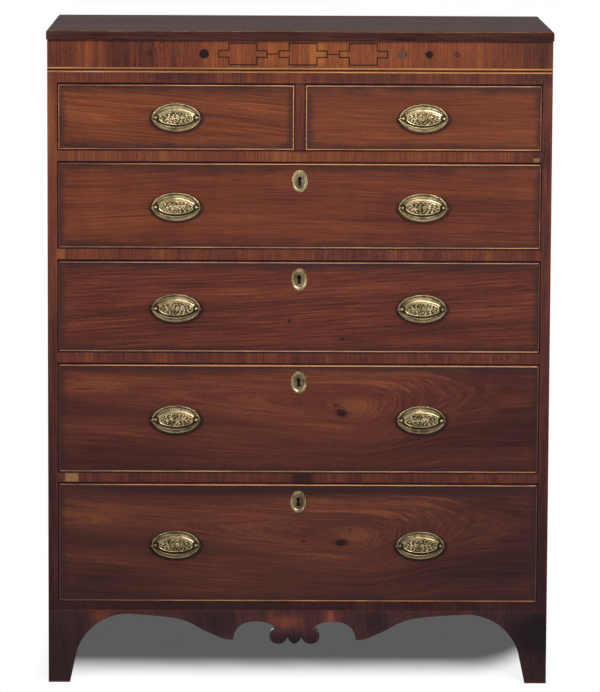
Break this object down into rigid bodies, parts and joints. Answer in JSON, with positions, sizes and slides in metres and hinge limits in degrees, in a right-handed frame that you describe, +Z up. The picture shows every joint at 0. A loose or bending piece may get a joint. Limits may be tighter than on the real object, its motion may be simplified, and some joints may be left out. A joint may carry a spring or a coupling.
{
  "type": "inlaid tall chest of drawers",
  "caption": "Tall mahogany chest with short and long graduated cock-beaded drawers, inlaid frieze, oval bail handles, shaped apron and bracket feet.",
  "frame": {"origin": "on the floor, half-way between the sides and half-way between the foremost brass and the back", "axes": "+X to the viewer's right when facing the drawers, +Y from the front to the back, +Z up"},
  "size_m": [1.05, 0.5308, 1.372],
  "materials": {
    "mahogany": "polished mahogany, worn shellac",
    "drawer_front": "polished figured mahogany with level grain",
    "crossband_veneer": "polished crossbanded mahogany veneer",
    "cock_bead": "light bead, worn polish",
    "holly": "light stringing, polished",
    "ebony": "dark inlay, polished",
    "pine": "bare aged pine",
    "brass": "aged pressed brass, rubbed bright on the high places",
    "iron": "dark forged iron"
  },
  "bodies": {
    "root": {"top_board": "mahogany", "side_right": "mahogany", "side_left": "mahogany", "back_boards": "pine", "bottom_board": "pine", "case_rails": "pine", "frieze_veneer": "crossband_veneer", "frieze_inlay": "ebony", "stringing": "holly", "face_veneers": "crossband_veneer", "centre_stile": "mahogany", "dust_frames": "pine", "guides_and_stops": "pine", "apron_front": "crossband_veneer", "side_aprons": "mahogany", "rear_feet": "mahogany", "base_blocks": "pine", "fasteners": "iron"},
    "drawer_1": {"drawer_1_front": "drawer_front", "drawer_1_box": "pine", "drawer_1_beads": "cock_bead", "drawer_1_brasses": "brass", "drawer_1_lock": "brass"},
    "drawer_1_bail_left": {"drawer_1_bail_left": "brass"},
    "drawer_1_bail_right": {"drawer_1_bail_right": "brass"},
    "drawer_1_lock_bolt": {"drawer_1_lock_bolt": "brass"},
    "drawer_2": {"drawer_2_front": "drawer_front", "drawer_2_box": "pine", "drawer_2_beads": "cock_bead", "drawer_2_brasses": "brass", "drawer_2_lock": "brass"},
    "drawer_2_bail_left": {"drawer_2_bail_left": "brass"},
    "drawer_2_bail_right": {"drawer_2_bail_right": "brass"},
    "drawer_2_lock_bolt": {"drawer_2_lock_bolt": "brass"},
    "drawer_3": {"drawer_3_front": "drawer_front", "drawer_3_box": "pine", "drawer_3_beads": "cock_bead", "drawer_3_brasses": "brass", "drawer_3_lock": "brass"},
    "drawer_3_bail_left": {"drawer_3_bail_left": "brass"},
    "drawer_3_bail_right": {"drawer_3_bail_right": "brass"},
    "drawer_3_lock_bolt": {"drawer_3_lock_bolt": "brass"},
    "drawer_4": {"drawer_4_front": "drawer_front", "drawer_4_box": "pine", "drawer_4_beads": "cock_bead", "drawer_4_brasses": "brass", "drawer_4_lock": "brass"},
    "drawer_4_bail_left": {"drawer_4_bail_left": "brass"},
    "drawer_4_bail_right": {"drawer_4_bail_right": "brass"},
    "drawer_4_lock_bolt": {"drawer_4_lock_bolt": "brass"},
    "short_drawer_left": {"short_drawer_left_front": "drawer_front", "short_drawer_left_box": "pine", "short_drawer_left_beads": "cock_bead", "short_drawer_left_brasses": "brass"},
    "short_drawer_left_bail": {"short_drawer_left_bail": "brass"},
    "short_drawer_right": {"short_drawer_right_front": "drawer_front", "short_drawer_right_box": "pine", "short_drawer_right_beads": "cock_bead", "short_drawer_right_brasses": "brass"},
    "short_drawer_right_bail": {"short_drawer_right_bail": "brass"}
  },
  "joints": [
    {"name": "drawer_1_slide", "type": "slide", "parent": "root", "child": "drawer_1", "axis": [0, -1, 0], "range_m": [0, 0.35]},
    {"name": "drawer_1_bail_left_swing", "type": "hinge", "parent": "drawer_1", "child": "drawer_1_bail_left", "pos_m": [-0.25625, -0.2616, 0.29425], "axis": [-1, 0, 0], "range_deg": [0, 100]},
    {"name": "drawer_1_bail_right_swing", "type": "hinge", "parent": "drawer_1", "child": "drawer_1_bail_right", "pos_m": [0.25625, -0.2616, 0.29425], "axis": [-1, 0, 0], "range_deg": [0, 100]},
    {"name": "drawer_1_lock_bolt_throw", "type": "slide", "parent": "drawer_1", "child": "drawer_1_lock_bolt", "axis": [0, 0, 1], "range_m": [0, 0.008]},
    {"name": "drawer_2_slide", "type": "slide", "parent": "root", "child": "drawer_2", "axis": [0, -1, 0], "range_m": [0, 0.35]},
    {"name": "drawer_2_bail_left_swing", "type": "hinge", "parent": "drawer_2", "child": "drawer_2_bail_left", "pos_m": [-0.25625, -0.2616, 0.56], "axis": [-1, 0, 0], "range_deg": [0, 100]},
    {"name": "drawer_2_bail_right_swing", "type": "hinge", "parent": "drawer_2", "child": "drawer_2_bail_right", "pos_m": [0.25625, -0.2616, 0.56], "axis": [-1, 0, 0], "range_deg": [0, 100]},
    {"name": "drawer_2_lock_bolt_throw", "type": "slide", "parent": "drawer_2", "child": "drawer_2_lock_bolt", "axis": [0, 0, 1], "range_m": [0, 0.008]},
    {"name": "drawer_3_slide", "type": "slide", "parent": "root", "child": "drawer_3", "axis": [0, -1, 0], "range_m": [0, 0.35]},
    {"name": "drawer_3_bail_left_swing", "type": "hinge", "parent": "drawer_3", "child": "drawer_3_bail_left", "pos_m": [-0.25625, -0.2616, 0.79425], "axis": [-1, 0, 0], "range_deg": [0, 100]},
    {"name": "drawer_3_bail_right_swing", "type": "hinge", "parent": "drawer_3", "child": "drawer_3_bail_right", "pos_m": [0.25625, -0.2616, 0.79425], "axis": [-1, 0, 0], "range_deg": [0, 100]},
    {"name": "drawer_3_lock_bolt_throw", "type": "slide", "parent": "drawer_3", "child": "drawer_3_lock_bolt", "axis": [0, 0, 1], "range_m": [0, 0.008]},
    {"name": "drawer_4_slide", "type": "slide", "parent": "root", "child": "drawer_4", "axis": [0, -1, 0], "range_m": [0, 0.35]},
    {"name": "drawer_4_bail_left_swing", "type": "hinge", "parent": "drawer_4", "child": "drawer_4_bail_left", "pos_m": [-0.25625, -0.2616, 1.00625], "axis": [-1, 0, 0], "range_deg": [0, 100]},
    {"name": "drawer_4_bail_right_swing", "type": "hinge", "parent": "drawer_4", "child": "drawer_4_bail_right", "pos_m": [0.25625, -0.2616, 1.00625], "axis": [-1, 0, 0], "range_deg": [0, 100]},
    {"name": "drawer_4_lock_bolt_throw", "type": "slide", "parent": "drawer_4", "child": "drawer_4_lock_bolt", "axis": [0, 0, 1], "range_m": [0, 0.008]},
    {"name": "short_drawer_left_slide", "type": "slide", "parent": "root", "child": "short_drawer_left", "axis": [0, -1, 0], "range_m": [0, 0.35]},
    {"name": "short_drawer_left_bail_swing", "type": "hinge", "parent": "short_drawer_left", "child": "short_drawer_left_bail", "pos_m": [-0.25625, -0.2616, 1.19225], "axis": [-1, 0, 0], "range_deg": [0, 100]},
    {"name": "short_drawer_right_slide", "type": "slide", "parent": "root", "child": "short_drawer_right", "axis": [0, -1, 0], "range_m": [0, 0.35]},
    {"name": "short_drawer_right_bail_swing", "type": "hinge", "parent": "short_drawer_right", "child": "short_drawer_right_bail", "pos_m": [0.25625, -0.2616, 1.19225], "axis": [-1, 0, 0], "range_deg": [0, 100]}
  ]
}
